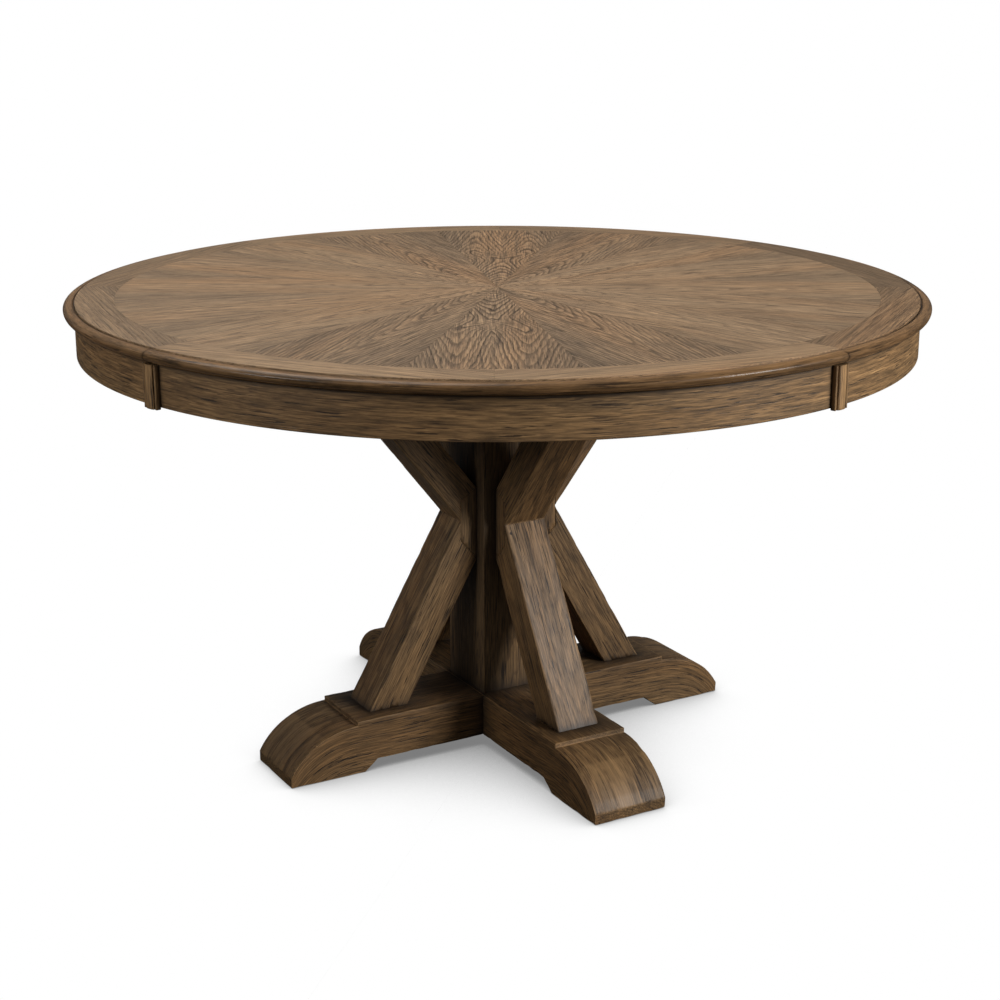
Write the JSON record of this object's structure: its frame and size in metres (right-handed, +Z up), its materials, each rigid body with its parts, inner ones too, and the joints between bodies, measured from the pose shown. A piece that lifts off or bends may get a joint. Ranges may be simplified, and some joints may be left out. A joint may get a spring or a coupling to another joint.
{
  "type": "round pedestal table",
  "caption": "Round wooden dining table with a sunburst top, a reeded apron and a post with leaning braces on a low cross of feet.",
  "frame": {"origin": "on the floor, under the middle of the post", "axes": "+Z up through the post to the tabletop; the four arms of the pedestal lie along +X, +Y, -X and -Y"},
  "size_m": [1.372, 1.372, 0.762],
  "materials": {
    "field_oak": "matt weathered oak, book-matched crown-cut grain",
    "border_oak": "matt weathered oak, straight grain",
    "edge_oak": "matt oak with dark glaze",
    "apron_oak": "matt oak with dark glaze",
    "base_oak": "matt brown oak, worn edges",
    "core_board": "raw board",
    "hidden_wood": "planed, unfinished",
    "steel": "zinc plated"
  },
  "bodies": {
    "root": {"apron_1": "apron_oak", "apron_2": "apron_oak", "apron_3": "apron_oak", "apron_4": "apron_oak", "apron_block_1": "apron_oak", "apron_block_2": "apron_oak", "apron_block_3": "apron_oak", "apron_block_4": "apron_oak", "border_segment_1": "border_oak", "border_segment_2": "border_oak", "border_segment_3": "border_oak", "border_segment_4": "border_oak", "border_segment_5": "border_oak", "border_segment_6": "border_oak", "border_segment_7": "border_oak", "border_segment_8": "border_oak", "centre_post": "base_oak", "edge_moulding_1": "edge_oak", "edge_moulding_2": "edge_oak", "edge_moulding_3": "edge_oak", "edge_moulding_4": "edge_oak", "foot_beam_lower": "base_oak", "foot_beam_upper": "base_oak", "hub_block_1": "base_oak", "hub_block_2": "base_oak", "hub_block_3": "base_oak", "hub_block_4": "base_oak", "lower_brace_1": "base_oak", "lower_brace_2": "base_oak", "lower_brace_3": "base_oak", "lower_brace_4": "base_oak", "post_bolt_foot": "steel", "post_bolt_top": "steel", "sunburst_wedge_01": "field_oak", "sunburst_wedge_02": "field_oak", "sunburst_wedge_03": "field_oak", "sunburst_wedge_04": "field_oak", "sunburst_wedge_05": "field_oak", "sunburst_wedge_06": "field_oak", "sunburst_wedge_07": "field_oak", "sunburst_wedge_08": "field_oak", "sunburst_wedge_09": "field_oak", "sunburst_wedge_10": "field_oak", "sunburst_wedge_11": "field_oak", "sunburst_wedge_12": "field_oak", "sunburst_wedge_13": "field_oak", "sunburst_wedge_14": "field_oak", "sunburst_wedge_15": "field_oak", "sunburst_wedge_16": "field_oak", "top_bearer_lower": "hidden_wood", "top_bearer_upper": "hidden_wood", "top_core": "core_board", "top_screw_1": "steel", "top_screw_2": "steel", "top_screw_3": "steel", "top_screw_4": "steel", "upper_brace_1": "base_oak", "upper_brace_2": "base_oak", "upper_brace_3": "base_oak", "upper_brace_4": "base_oak"}
  },
  "joints": []
}
